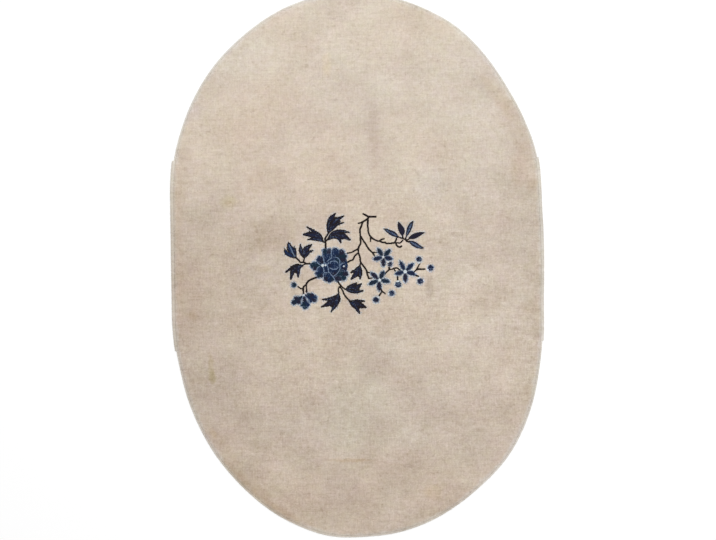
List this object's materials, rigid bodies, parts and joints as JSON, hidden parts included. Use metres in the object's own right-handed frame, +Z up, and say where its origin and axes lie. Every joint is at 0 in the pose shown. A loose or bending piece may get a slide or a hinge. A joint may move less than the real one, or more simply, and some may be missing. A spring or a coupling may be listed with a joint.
{
  "type": "oval peking rug",
  "caption": "Flat oval hand-knotted wool rug, plain beige pile with a small blue flower spray at the middle and overcast edges.",
  "frame": {"origin": "on the floor, under the middle of the rug's box", "axes": "+X across the rug, +Y along it towards the end whose spray branch points up, +Z up out of the pile"},
  "size_m": [1.2208, 1.7792, 0.01],
  "materials": {
    "ground_wool": "beige wool pile, low sheen, row by row shading",
    "navy_wool": "deep navy wool pile",
    "blue_wool": "middle blue wool pile",
    "teal_wool": "dark teal wool pile",
    "light_blue_wool": "light blue wool pile",
    "pale_blue_wool": "pale blue wool pile",
    "bark_wool": "brown-black wool pile",
    "edge_yarn": "greyish overcast wool yarn",
    "foundation_cotton": "undyed cotton warp and weft, matte"
  },
  "bodies": {
    "root": {"rug_body": "ground_wool", "selvedge_right": "edge_yarn", "selvedge_left": "edge_yarn", "end_cord_top": "edge_yarn", "end_cord_bottom": "edge_yarn"}
  },
  "joints": []
}
